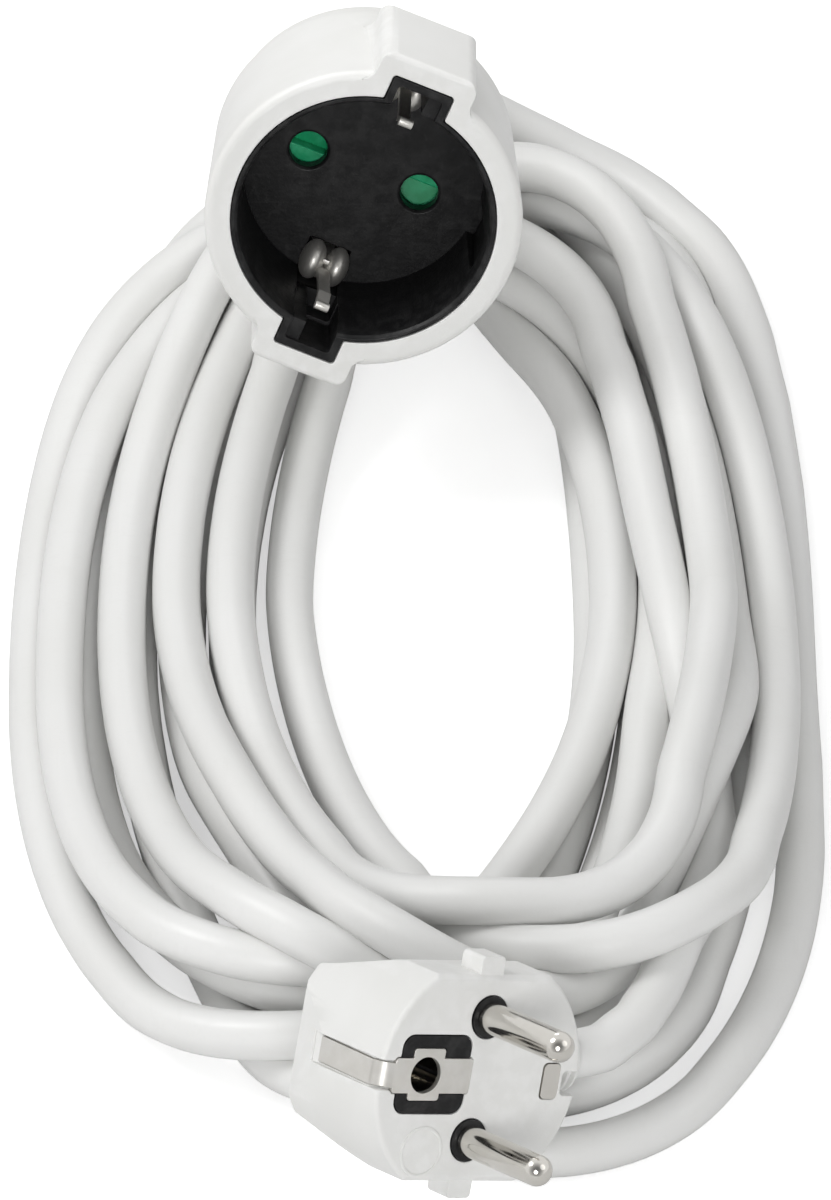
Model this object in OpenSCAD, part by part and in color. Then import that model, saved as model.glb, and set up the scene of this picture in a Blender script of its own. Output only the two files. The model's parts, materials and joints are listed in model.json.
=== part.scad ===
// Extension cord: a coiled round cord with a moulded earthed coupler
// socket on one end and an angled moulded earthed plug on the other.
// Millimetres, +Z up, the coil lies on the floor at z = 0.
// The coupler and the plug are each built in their own frame, with the
// contact face at z = 0 and the body behind it, and then placed.

/* [Cord] */
// Outside diameter of the round cord
cord_d = 7.6; // [7.2:0.1:8.4]
// Diameter of one insulated core
core_d = 2.5; // [2.2:0.1:2.9]
// Distance between the core centres in the cord
core_pitch = 3; // [2.8:0.1:3.4]

/* [Contact system] */
// Distance between the two pin centres
pin_pitch = 19; // [18.8:0.1:19.2]
// Pin diameter
pin_d = 4.8; // [4.6:0.05:4.9]
// Pin length in front of the plug's face
pin_l = 19; // [18.5:0.1:19.5]

// Diameter of the pins' moulded-in shanks
shank_d = 4.2; // [4:0.05:4.3]

/* [Coupler housing] */
// Width of the white rim round the insert
rim_w = 4.2; // [3.4:0.1:6]
// Thickness of the shell's wall at its rear edge
rear_wall = 2.8; // [2:0.1:3.2]
// Length from the face to the rear edge
shell_l = 29.6; // [29:0.1:31]
// Length from the face to the neck
neck_z = 43; // [42.5:0.1:45]
// Length from the face to the end of the ringed tail
tail_z = 58; // [56:0.5:60]
// Neck diameter
neck_d = 17; // [15:0.5:18]
// Diameter at the end of the tail
tail_d = 11; // [10:0.2:12]
// Number of grooves in the tail
tail_grooves = 4; // [2:1:5]
// Width of the bosses
boss_w = 16.2; // [15.4:0.1:17]
// Reach of the bosses from the axis
boss_reach = 28; // [27.2:0.1:28.6]
// Length of the bosses
boss_l = 22; // [18:0.5:23]
// Corner radius of the bosses
boss_r = 2.2; // [1.4:0.1:3.4]

/* [Coupler insert] */
// Outside diameter of the black insert
insert_d = 41.6; // [41.4:0.1:42]
// Recess diameter at the mouth
recess_d = 39.6; // [39.4:0.1:40]
// Recess diameter at its floor
recess_floor_d = 38; // [37.4:0.1:38.6]
// Recess depth
recess_h = 20; // [19:0.1:20.4]
// Thickness of the recess floor
floor_t = 2.5; // [2.2:0.1:2.8]
// Diameter of the pin holes
pin_hole_d = 6; // [5.6:0.1:6.4]
// Width of the ear notches
ear_w = 7.4; // [7.2:0.1:8]
// Reach of the ear notches from the axis
ear_reach = 23.1; // [22.8:0.1:23.6]
// Wall round the ear notches
ear_wall = 1.3; // [1:0.1:1.5]
// Depth of the ears
ear_h = 16; // [14:0.5:16.5]
// Width of the key slots in the wall
key_w = 6; // [5:0.1:7]
// Depth below the rim at which the key slots start
key_z = 4.5; // [3:0.1:6]

/* [Shutter] */
// Thickness of the blades
blade_t = 2.4; // [2:0.1:2.6]
// Outer radius of the blades
blade_r = 13.5; // [13.2:0.1:13.9]
// Half angle of a blade
blade_a = 20; // [19:0.5:22]
// Hub radius
hub_r = 4.4; // [4.1:0.1:4.8]
// Radius of the pivot on the carrier
pivot_r = 2.5; // [2:0.1:2.7]
// Running gap round the shutter
run_gap = 0.3; // [0.25:0.05:0.4]

/* [Contacts] */
// Outer radius of the brass sleeves
sleeve_r = 3.25; // [3.1:0.05:3.4]
// Gap between a pin and its sleeve
pin_gap = 0.05; // [0.05:0.01:0.1]
// Width of the slit in a sleeve
slit_w = 0.8; // [0.5:0.1:1.2]
// Width of the earth bow
bow_w = 6.3; // [6:0.1:6.6]
// Thickness of the earth bow's strip
bow_t = 0.8; // [0.6:0.1:1]
// Depth below the rim of the bow's rolled noses
tongue_z = 2.4; // [2:0.1:4]

/* [Plug body] */
// Radius of the round face
plug_r = 19.2; // [19:0.1:19.4]
// Half height between the two flats
flat_y = 16; // [15.6:0.1:16.4]
// Depth of the body behind the face
plug_depth = 24; // [23.5:0.1:25]
// Width of the key ribs
rib_w = 4.5; // [4:0.1:5]
// How far the key ribs stand proud of the flats
rib_h = 2.7; // [2:0.1:3]
// Depth of the key ribs behind the face
rib_l = 5.6; // [4:0.1:8]
// Depth of the cord's axis behind the face
cord_depth = 13; // [12.6:0.1:13.4]
// Distance from the pin axis to the end of the strain relief
relief_x = 26; // [25:0.5:30]
// Diameter at the end of the strain relief
relief_d = 10.4; // [9.8:0.1:11.4]
// Diameter of the strain relief where it leaves the body
relief_root_d = 15; // [13:0.5:16]

/* [Plug face] */
// Radius of the black collars round the pins
collar_r = 3.25; // [3:0.05:3.5]
// How far the collars stand proud
collar_h = 0.3; // [0.1:0.1:0.8]
// Diameter of the earth hole
earth_hole_d = 5.6; // [5.4:0.1:5.8]
// Distance from the pin axis to the earth hole
earth_x = 10.4; // [10:0.1:10.8]
// Width of the earth clips
clip_w = 5.4; // [5:0.1:5.8]
// Width of the near clip's strip along the side
strip_w = 3.8; // [3.4:0.1:4.4]
// Thickness of the clips
clip_t = 0.7; // [0.5:0.1:0.9]
// Length of the near clip along the side
clip_l = 15.5; // [14:0.5:17]

/* [Fit] */
// Gap between parts that are moulded into each other
mould_gap = 0.1; // [0.05:0.01:0.15]

/* [Hidden] */

white = [0.93, 0.93, 0.92];
black = [0.06, 0.06, 0.07];
green = [0.03, 0.30, 0.16];
brass = [0.78, 0.62, 0.30];
nickel = [0.75, 0.74, 0.71];

// Small overlap that carries a cut past a face
e = 0.01;
// Facets of large, middle and small round parts
fn_l = 96;
fn_m = 48;
fn_s = 24;

// Where the row's origin lies in the frame of the coil
row_shift = [0, 11.6, 0];

// Pose of the coupler: face centre, tip-back and roll of its frame
socket_at = [-8.15, 45.6, 54];
socket_tilt = 72;
socket_roll = -23;
// Pose of the plug: face centre, and its frame's turns
plug_at = [9.5, -130, 36];
plug_turn = [68.5, 26, 30];

// Diameters of the shell at its face and at its rear edge
face_d = insert_d + 2 * rim_w;
rear_d = insert_d + 2 * (mould_gap + rear_wall);

// Heights of the layers behind the coupler's recess
chamber_z = recess_h + floor_t;
carrier_z = chamber_z + 4.4;
carrier_t = 5;
skirt_z = carrier_z + carrier_t;
tower_z = 38.4;
tower_r = sleeve_r + 1.8;
crimp_r = 1.8;

// Where each contact's crimp starts and ends, and its core's bends
function crimp_a(s) = [s * (pin_pitch / 2 - 0.6), 0, -37];
function crimp_b(s) = [s * 5, 0, -42];
function core_c(s) = [s * core_pitch / 2, -core_pitch * 0.29, -50];
function core_end(s) = [s * core_pitch / 2, -core_pitch * 0.29, -tail_z + e];
earth_crimp_top = -skirt_z - bow_t - 0.2;

// ---------------------------------------------------------------- helpers

// A straight round rod from a to b
module rod(a, b, r) {
    d = b - a;
    translate(a)
        rotate([0, atan2(norm([d.x, d.y]), d.z), atan2(d.y, d.x)])
            cylinder(r = r, h = norm(d), $fn = fn_s);
}

// A rod that bends at each point of a list: straight stretches that run
// a little past each bend
module bent_rod(points, r) {
    last = len(points) - 1;
    for (i = [0 : last - 1])
        let (a = points[i], b = points[i + 1], past = 0.6 * r * unit(b - a))
            rod(i > 0 ? a - past : a, i < last - 1 ? b + past : b, r);
}

// Points of an arc round c
function arc(c, r, a0, a1, n = 6) =
    [for (i = [0 : n]) let (a = a0 + (a1 - a0) * i / n)
        [c.x + r * cos(a), c.y + r * sin(a)]];

// Outline of a rectangle with round corners
function round_rect(w, h, r) = concat(
    arc([w / 2 - r, h / 2 - r], r, 0, 90),
    arc([r - w / 2, h / 2 - r], r, 90, 180),
    arc([r - w / 2, r - h / 2], r, 180, 270),
    arc([w / 2 - r, r - h / 2], r, 270, 360));

// A plate with round corners, centred, from z0 up to z1
module plate(w, h, r, z0, z1) {
    translate([0, 0, z0]) linear_extrude(z1 - z0)
        polygon(round_rect(w, h, r));
}

module in_row() { translate(row_shift) children(); }

module at_socket() {
    in_row() translate(socket_at) rotate([socket_tilt, 0, 0])
        rotate([0, 0, socket_roll]) children();
}

module at_plug() {
    in_row() translate(plug_at) rotate(plug_turn) children();
}

// ---------------------------------------------------------------- coupler

// Depth profile of the shell: soft front edge, taper, rim line, round
// shoulder, neck and tapered tail
function shell_profile() = concat(
    [[0, 0]],
    arc([face_d / 2 - 1.4, -1.4], 1.4, 90, 4, 5),
    arc([rear_d / 2 - 1.4, -shell_l + 1.1], 1.4, 0, -65, 4),
    [[rear_d / 2 - 0.9, -shell_l - 0.3]],
    [for (a = [10 : 10 : 80])
        [neck_d / 2 + (rear_d / 2 - 0.9 - neck_d / 2) * pow(cos(a), 0.8),
         -shell_l - 0.3 - (neck_z - shell_l - 0.3) * pow(sin(a), 0.9)]],
    [[neck_d / 2, -neck_z], [tail_d / 2, -tail_z], [0, -tail_z]]);

// Concave root between a boss and the shell
boss_f = 2.2;
boss_y = sqrt(pow(rear_d / 2 + 0.4 + boss_f, 2) - pow(boss_w / 2 + boss_f, 2));
boss_turn = atan2(boss_y, boss_w / 2 + boss_f);

// Plan of one boss: straight sides, round corners and flared roots
function boss_plan() = concat(
    [[boss_w / 2 + 1, 12]],
    arc([boss_w / 2 + boss_f, boss_y], boss_f, 180 + boss_turn, 180, 5),
    arc([boss_w / 2 - boss_r, boss_reach - boss_r], boss_r, 0, 90),
    arc([boss_r - boss_w / 2, boss_reach - boss_r], boss_r, 90, 180),
    arc([-boss_w / 2 - boss_f, boss_y], boss_f, 0, -boss_turn, 5),
    [[-boss_w / 2 - 1, 12]]);

module boss() {
    intersection() {
        translate([0, 0, -boss_l]) linear_extrude(boss_l)
            polygon(boss_plan());
        // side profile: the rear end slopes down to the shell
        rotate([90, 0, 90]) translate([0, 0, -boss_w])
            linear_extrude(2 * boss_w) polygon(concat(
                [[10, -boss_l], [boss_reach - 3.2, -boss_l]],
                arc([boss_reach - 2.6, -boss_l + 2.8], 2.6, 270, 360),
                arc([boss_reach - 0.9, -0.9], 0.9, 0, 90, 4),
                [[10, 0]]));
    }
}

module tail_ring_cuts() {
    pitch = (tail_z - neck_z - 3) / tail_grooves;
    for (i = [0 : tail_grooves - 1])
        let (z = -neck_z - 1.6 - pitch * (i + 0.5),
             r = neck_d / 2 + (tail_d - neck_d) / 2
                 * (-z - neck_z) / (tail_z - neck_z))
            translate([0, 0, z]) rotate_extrude($fn = fn_m)
                polygon([[r - 1, -0.7], [r - 1, 0.7],
                         [r + 1, 1.1], [r + 1, -1.1]]);
}

module contact_bodies(gap) {
    for (s = [-1, 1]) {
        translate([s * pin_pitch / 2, 0, -tower_z - gap])
            cylinder(r = tower_r + gap, h = tower_z - skirt_z + 1,
                     $fn = fn_m);
        rod(crimp_a(s), crimp_b(s) + [0, 0, -gap], crimp_r + gap);
        bent_rod([crimp_b(s), core_c(s), core_end(s) - [0, 0, 1]],
                 core_d / 2 + gap);
    }
}

module socket_housing() {
    g = mould_gap;
    color(white) at_socket() difference() {
        union() {
            rotate_extrude($fn = fn_l) polygon(shell_profile());
            for (a = [0, 180]) rotate(a) boss();
        }
        tail_ring_cuts();
        // seat of the insert and its ears
        translate([0, 0, -skirt_z - g])
            cylinder(d = insert_d + 2 * g, h = skirt_z + 1, $fn = fn_l);
        plate(ear_w + 2 * ear_wall + 2 * g,
              2 * (ear_reach + ear_wall + g), 0.6, -ear_h - g, 1);
        // seats of the contacts, the bow's bridge and the three cores
        contact_bodies(g);
        translate([-bow_w / 2 - g, -16.3, -skirt_z - bow_t - 0.4])
            cube([bow_w + 2 * g, 32.6, bow_t + 1]);
        bent_rod([[0, 0, earth_crimp_top + 1], [0, 0, -43],
                  [0, core_pitch * 0.58, -50],
                  [0, core_pitch * 0.58, -tail_z - 1]], core_d / 2 + g);
        rod([0, 0, earth_crimp_top + 1], [0, 0, -40.2], crimp_r + g);
    }
}

module socket_insert() {
    ear_out = ear_w + 2 * ear_wall;
    color(black) at_socket() {
        // blocks that narrow each ear to a slot for the bow's tongue
        for (a = [0, 180]) rotate(a)
            translate([1.4, 19.7, -ear_h + 1])
                cube([ear_w / 2 - 1.2, ear_reach - 19.5, ear_h - 1.9]);
        difference() {
            union() {
                translate([0, 0, -skirt_z])
                    cylinder(d = insert_d, h = skirt_z, $fn = fn_l);
                plate(ear_out, 2 * (ear_reach + ear_wall), 0.5, -ear_h, 0);
            }
            // recess
            translate([0, 0, -recess_h])
                cylinder(d1 = recess_floor_d, d2 = recess_d, h = recess_h + e,
                         $fn = fn_l);
            translate([0, 0, -0.6])
                cylinder(d1 = recess_d - e, d2 = recess_d + 1, h = 0.6 + e,
                         $fn = fn_l);
            // ear notches: wide step above, narrow slot below
            plate(ear_w, 2 * ear_reach, 0.5, -11, 1);
            plate(ear_w - 0.6, 2 * ear_reach - 1.2, 0.5, -ear_h + 1.2, 1);
            // key slots
            intersection() {
                translate([-25, -key_w / 2, -recess_h])
                    cube([50, key_w, recess_h - key_z]);
                translate([0, 0, -recess_h])
                    cylinder(r = recess_d / 2 + 0.5, h = recess_h,
                             $fn = fn_l);
            }
            // pin holes with a lead-in
            for (s = [-1, 1]) translate([s * pin_pitch / 2, 0, 0]) {
                translate([0, 0, -chamber_z - 1])
                    cylinder(d = pin_hole_d, h = floor_t + 2, $fn = fn_m);
                translate([0, 0, -recess_h - 0.4])
                    cylinder(d1 = pin_hole_d, d2 = pin_hole_d + 0.9,
                             h = 0.4 + e, $fn = fn_m);
            }
            // slots that the earth bow's arms pass
            for (a = [0, 180]) rotate(a)
                translate([-bow_w / 2 - 0.3, 13.4, -chamber_z - 1])
                    cube([bow_w + 0.6, 6, chamber_z - 13]);
            // shutter chamber and the carrier's seat
            translate([0, 0, -carrier_z])
                cylinder(r = 18.6, h = carrier_z - chamber_z, $fn = fn_l);
            translate([0, 0, -skirt_z - e])
                cylinder(r = 19.4, h = carrier_t + 2 * e, $fn = fn_l);
        }
    }
}

module contact_carrier() {
    color([0.22, 0.22, 0.23]) at_socket() difference() {
        union() {
            translate([0, 0, -skirt_z])
                cylinder(r = 19.4 - mould_gap, h = carrier_t - mould_gap,
                         $fn = fn_l);
            translate([0, 0, -carrier_z - 1])
                cylinder(r = pivot_r, h = carrier_z - chamber_z + 1 - 0.1,
                         $fn = fn_m);
            for (s = [-1, 1]) translate([s * pin_pitch / 2, 0, -tower_z])
                cylinder(r = tower_r, h = tower_z - skirt_z + 1,
                         $fn = fn_m);
            // post that holds the spring's fixed leg
            translate([-6.6, spring_r + 1.05, -carrier_z - 1])
                cylinder(r = 0.75, h = 2.3, $fn = fn_s);
        }
        // bores of the sleeves, open at the bottom on the crimp's side
        for (s = [-1, 1]) {
            translate([s * pin_pitch / 2, 0, -tower_z - 1])
                cylinder(r = sleeve_r + mould_gap, h = tower_z, $fn = fn_m);
            rod(crimp_a(s), crimp_b(s), crimp_r + mould_gap);
        }
        // slots of the bow's arms
        for (a = [0, 180]) rotate(a)
            translate([-bow_w / 2 - mould_gap, 14.9, -skirt_z - 1])
                cube([bow_w + 2 * mould_gap, bow_t + 0.4, carrier_t + 2]);
    }
}

spring_r = 3.3;
spring_wire = 0.25;

module shutter() {
    top = -chamber_z - run_gap;
    color(green) at_socket() difference() {
        union() {
            for (a = [0, 180]) rotate(a - blade_a)
                translate([0, 0, top - blade_t])
                    rotate_extrude(angle = 2 * blade_a, $fn = fn_l)
                        translate([hub_r - 1, 0])
                            square([blade_r - hub_r + 1, blade_t]);
            translate([0, 0, top - blade_t])
                cylinder(r = hub_r, h = blade_t, $fn = fn_m);
            // lug that the spring's moving leg pushes
            translate([-8, -2.35, top - blade_t - 1.1])
                cylinder(r = 0.55, h = 1.4, $fn = fn_s);
        }
        translate([0, 0, -carrier_z])
            cylinder(r = pivot_r + run_gap, h = 10, $fn = fn_m);
        // ramp on each blade that a pin pushes aside
        for (a = [0, 180]) rotate(a)
            translate([hub_r + 0.6, -1.5, top - 1.1]) rotate([-14, 0, 0])
                translate([0, -12, 0]) cube([20, 14, 6]);
    }
}

module shutter_spring() {
    base = -carrier_z + 0.05 + spring_wire;
    color(nickel) at_socket() {
        for (i = [0 : 2]) translate([0, 0, base + i * 0.36])
            rotate_extrude($fn = fn_m) translate([spring_r, 0])
                circle(r = spring_wire, $fn = 16);
        rod([0.6, spring_r, base], [-7.6, spring_r, base], spring_wire);
        rod([0.6, -spring_r, base + 0.72], [-9.2, -spring_r, base + 0.72],
            spring_wire);
    }
}

// A slit brass sleeve with a lead-in and a crimp barrel at its foot
module contact(s) {
    color(brass) at_socket() difference() {
        union() {
            translate([s * pin_pitch / 2, 0, -37.7])
                cylinder(r = sleeve_r, h = 37.7 - carrier_z - 0.5,
                         $fn = fn_m);
            rod(crimp_a(s), crimp_b(s), crimp_r);
        }
        translate([s * pin_pitch / 2, 0, 0]) {
            translate([0, 0, -37.2])
                cylinder(r = pin_d / 2 + pin_gap, h = 20, $fn = fn_m);
            translate([0, 0, -carrier_z - 1.3])
                cylinder(r1 = pin_d / 2, r2 = sleeve_r - 0.2, h = 0.9,
                         $fn = fn_m);
            for (a = [45, 135]) rotate(a)
                translate([-5, -slit_w / 2, -34])
                    cube([10, slit_w, 20]);
        }
    }
}

module contact_live() { contact(1); }
module contact_neutral() { contact(-1); }

// One arm of the earth bow, on the +Y side: leg, two-lobed arch, tongue
module bow_arm() {
    arch_r = 2.6;
    arch_y = 16.4;
    arch_z = -18.9;
    nose_y = 16.9;
    difference() {
        translate([-bow_w / 2, arch_y, arch_z]) rotate([90, 0, 90])
            linear_extrude(bow_w) difference() {
                circle(r = arch_r, $fn = fn_m);
                circle(r = arch_r - bow_t, $fn = fn_m);
                translate([-5, -10]) square([10, 9.2]);
            }
        translate([-0.5, arch_y - 2.9, arch_z - 2])
            cube([1, 4, 6]);
    }
    // leg down to the bridge
    translate([-bow_w / 2 + 0.4, 15, -skirt_z - bow_t - 0.2])
        cube([bow_w - 0.8, bow_t, skirt_z - 15.8]);
    // tongue that the plug's clip wipes over, its flare and rolled nose
    translate([-1, arch_y - 0.1, arch_z + arch_r - 0.7])
        rotate([3, 0, 0]) cube([2, bow_t, -arch_z - arch_r - tongue_z - 1.9]);
    translate([-1.07, nose_y - 1.4, -tongue_z - 3])
        rotate([-24, 0, 0]) cube([2.14, bow_t, 3]);
    rod([-1.15, nose_y, -tongue_z], [1.15, nose_y, -tongue_z], 0.75);
}

module earth_bow() {
    color(nickel) at_socket() {
        for (a = [0, 180]) rotate(a) bow_arm();
        translate([-bow_w / 2 + 0.4, -15.8, -skirt_z - bow_t - 0.2])
            cube([bow_w - 0.8, 31.6, bow_t]);
        translate([0, 0, -40]) cylinder(r = crimp_r,
            h = 40 - skirt_z - bow_t, $fn = fn_s);
    }
}

module socket_core(s) {
    at_socket() bent_rod([
        crimp_b(s) + 0.5 * unit(core_c(s) - crimp_b(s)),
        core_c(s), core_end(s)], core_d / 2);
}

module socket_core_brown() { color([0.35, 0.18, 0.08]) socket_core(1); }
module socket_core_blue() { color([0.10, 0.25, 0.70]) socket_core(-1); }
module socket_core_earth() {
    color([0.55, 0.65, 0.10]) at_socket() bent_rod([
        [0, 0, -40 - e], [0, 0, -43], [0, core_pitch * 0.58, -50],
        [0, core_pitch * 0.58, -tail_z + e]], core_d / 2);
}

// ---------------------------------------------------------------- plug

// Side profile between the flats: half heights at depths behind the face
function flat_profile() = concat(
    [[flat_y - 0.8, 0], [flat_y, -0.8], [flat_y, -8.6],
     [flat_y - 0.5, -10.6], [flat_y - 2, -15], [flat_y - 3.6, -20]],
    arc([flat_y - 5.7, -plug_depth + 1.4], 1.4, 0, -90, 5));

function mirrored(points) = concat(points,
    [for (i = [len(points) - 1 : -1 : 0]) [-points[i].x, points[i].y]]);

module plug_block() {
    intersection() {
        // round plan with a soft front edge and round rear corners
        rotate_extrude($fn = fn_l) polygon(concat(
            [[0, 0]], arc([plug_r - 0.8, -0.8], 0.8, 90, 0, 4),
            [[plug_r, -14]],
            arc([plug_r - 1.5, -plug_depth + 1.2], 1.2, 0, -90, 5),
            [[0, -plug_depth]]));
        rotate([90, 0, 90]) translate([0, 0, -25]) linear_extrude(50)
            polygon(mirrored(flat_profile()));
        // flat grip at the end away from the cord
        rotate([90, 0, 0]) translate([0, 0, -25]) linear_extrude(50)
            polygon([[-25, 5], [-25, -13], [-plug_r - 0.1, -14.5],
                     [-plug_r + 2, -plug_depth + 1.3],
                     [-plug_r + 3.2, -plug_depth - e],
                     [40, -plug_depth - e], [40, 5]]);
    }
}

// Tapered sleeve round the cord, with grooves, along +X
module strain_relief() {
    root = 11;
    span = relief_x - root;
    translate([0, 0, -cord_depth]) rotate([0, 90, 0]) difference() {
        rotate_extrude($fn = fn_m) polygon([
            [0, 2], [relief_root_d / 2 + 1, 2],
            [relief_root_d / 2, root + 3],
            [relief_d / 2 + 0.4, relief_x - 1.2],
            [relief_d / 2 - 0.2, relief_x], [0, relief_x]]);
        for (i = [0 : 2])
            let (x = root + span * (0.62 + 0.14 * i),
                 r = relief_root_d / 2
                     + (relief_d - relief_root_d) / 2 * (x - root) / span)
                translate([0, 0, x]) rotate_extrude($fn = fn_m)
                    polygon([[r - 0.9, -0.5], [r - 0.9, 0.5],
                             [r + 2, 0.9], [r + 2, -0.9]]);
    }
}

// Everything black in the plug; gap makes it the cavity's cutter
module insert_form(gap) {
    for (s = [-1, 1]) translate([0, s * pin_pitch / 2, -12])
        cylinder(r = collar_r + gap, h = 12 + collar_h + gap, $fn = fn_m);
    translate([-8.9, 0.6, 0])
        plate(13 + 2 * gap, 12 + 2 * gap, 2, -12 - gap, gap);
    translate([-4, 0, 0])
        plate(16.5 + 2 * gap, 25 + 2 * gap, 3, -12 - gap, -5 + gap);
}

// Room for the parts held in the black bridge
module pin_form(s, gap) {
    translate([0, s * pin_pitch / 2, -17])
        cylinder(r = crimp_r + 0.2 + gap, h = 6, $fn = fn_s);
}

function plug_core(s) = [
    [2, s * pin_pitch / 2 - s * 0.4, -15],
    [13, s * core_pitch / 2, -cord_depth + 0.9],
    [relief_x - e, s * core_pitch / 2, -cord_depth + 0.9]];
plug_earth_core = [
    [-earth_x + 6, 0.45, -cord_depth - 0.7],
    [relief_x - e, 0, -cord_depth - 1.7]];

module earth_form(gap) {
    translate([-earth_x, 0.5, -16 - gap])
        cylinder(r = earth_hole_d / 2 + 0.5 + gap, h = 17, $fn = fn_m);
    earth_crimp(gap);
}

// Crimp barrel at the sleeve's foot, towards the cord
module earth_crimp(gap) {
    rod([-earth_x + 1, 0.5, -cord_depth - 0.6],
        [-earth_x + 6 + gap, 0.45, -cord_depth - 0.7], 1.5 + gap);
}

// Side view of the near clip: bend at the face, chamfer, strip along
// the body's side and a foot that holds it
function strip_view(g) =
    let (x = -plug_r + 0.1, z = -clip_l, t = clip_t)
    [[-15, 0.1 + g], [x + 2.5 - 0.4 * g, 0.1 + g], [x - g, -2.3 + 0.4 * g],
     [x + 0.55 - g, z - g], [-15.6 + g, z - g], [-15.6 + g, z + t + g],
     [x + 0.55 + t + g, z + t + g], [x + t + g, -2.6 - 0.4 * g],
     [x + 2.8, -t - g], [-15, -t - g]];

module strip(g) {
    translate([0, 0.4, 0]) rotate([90, 0, 0])
        translate([0, 0, -strip_w / 2 - g])
            linear_extrude(strip_w + 2 * g) polygon(strip_view(g));
}

// The near clip: plate on the face, bend and strip along the side
module near_clip(gap) {
    difference() {
        union() {
            translate([-9.1, 0.4, 0])
                plate(14.6 + 2 * gap, clip_w + 2 * gap, 0.5, -clip_t - gap,
                      0.1 + gap);
            translate([-10.25, 0.6, 0])
                plate(5.9 + 2 * gap, 8 + 2 * gap, 0.5, -clip_t - gap,
                      0.1 + gap);
        }
        if (gap == 0) translate([-earth_x, 0.5, -2])
            cylinder(d = earth_hole_d, h = 4, $fn = fn_m);
    }
    strip(gap);
}

// The far clip: folded end at the face, leaf and strap to the sleeve
module far_clip(gap) {
    translate([13.75, -0.3, 0])
        plate(3.1 + 2 * gap, clip_w + 2 * gap, 0.8, -1.2 - gap, 0.1 + gap);
    translate([12.6 - gap, -0.3 - clip_w / 2 + 0.6 - gap, -7.6 - gap])
        cube([clip_t + 2 * gap, clip_w - 1.2 + 2 * gap, 7.6 + gap]);
    translate([-earth_x + 3.2, -1.6 - gap, -7.6 - gap])
        cube([earth_x + 9.8, 3.2 + 2 * gap, clip_t + 2 * gap]);
}

module plug_body() {
    g = mould_gap;
    color(white) at_plug() difference() {
        union() {
            plug_block();
            strain_relief();
            // key ribs on the two flats
            for (s = [-1, 1]) translate([-0.5 * s, s * (flat_y - 1), 0])
                plate(rib_w, 2 + 2 * rib_h, 0.8, -rib_l, -0.6);
            // square shoulder at the back
            translate([-11.1, 9.8, 0])
                plate(8.2, 3, 0.6, -plug_depth + 0.3, -17);
        }
        insert_form(g);
        earth_form(g);
        near_clip(g);
        far_clip(g);
        // slot of the near clip's strip, open to the side
        translate([0, 0.4, 0]) rotate([90, 0, 0])
            translate([0, 0, -strip_w / 2 - 0.4])
                linear_extrude(strip_w + 0.8)
                    polygon([[-25, 2], [3 - plug_r, 2], [3 - plug_r, -0.5],
                             [0.4 - plug_r, -2.6],
                             [1 - plug_r, -clip_l - 1.7],
                             [-25, -clip_l - 1.7]]);
        // notch outside the far clip
        translate([18.4, -0.65, 0]) plate(4.8, 3.7, 0.8, -7, 1);
        for (s = [-1, 1]) {
            pin_form(s, g);
            bent_rod(plug_core(s), core_d / 2 + g);
        }
        bent_rod(plug_earth_core, core_d / 2 + g);
    }
}

module plug_insert() {
    color(black) at_plug() difference() {
        insert_form(0);
        for (s = [-1, 1]) translate([0, s * pin_pitch / 2, -20])
            cylinder(r = shank_d / 2 + mould_gap, h = 30, $fn = fn_m);
        earth_form(mould_gap);
        near_clip(mould_gap);
        far_clip(mould_gap);
    }
}

// Solid pin with a domed tip, a shoulder and a crimp barrel
module pin(s) {
    color(nickel) at_plug() translate([0, s * pin_pitch / 2, 0])
        rotate_extrude($fn = fn_m) polygon(concat(
            [[0, -16.6], [crimp_r, -16.6], [crimp_r, -11.9],
             [shank_d / 2, -11.9], [shank_d / 2, collar_h + 0.1],
             [pin_d / 2, collar_h + 0.1]],
            arc([pin_d / 2 - 2.3, pin_l - 2.3], 2.3, 0, 80, 7),
            [[0, pin_l]]));
}

module pin_live() { pin(1); }
module pin_neutral() { pin(-1); }

module earth_clip() { color(nickel) at_plug() near_clip(0); }

module earth_spring() { color(nickel) at_plug() far_clip(0); }

// Slit sleeve in the earth hole, closed at the foot by its crimp
module earth_sleeve() {
    color(nickel) at_plug() difference() {
        union() {
            translate([-earth_x, 0.5, -16])
                cylinder(r = earth_hole_d / 2 + 0.5, h = 16 - clip_t - 0.1,
                         $fn = fn_m);
            earth_crimp(0);
        }
        translate([-earth_x, 0.5, -15])
            cylinder(d = earth_hole_d, h = 20, $fn = fn_m);
        for (a = [0, 120, 240]) translate([-earth_x, 0.5, 0]) rotate(a)
            translate([1, -0.3, -10]) cube([5, 0.6, 12]);
    }
}

module plug_core_brown() {
    color([0.35, 0.18, 0.08]) at_plug() bent_rod(plug_core(1), core_d / 2);
}
module plug_core_blue() {
    color([0.10, 0.25, 0.70]) at_plug() bent_rod(plug_core(-1), core_d / 2);
}
module plug_core_earth() {
    color([0.55, 0.65, 0.10]) at_plug()
        bent_rod(plug_earth_core, core_d / 2);
}

// ---------------------------------------------------------------- cord

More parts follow.
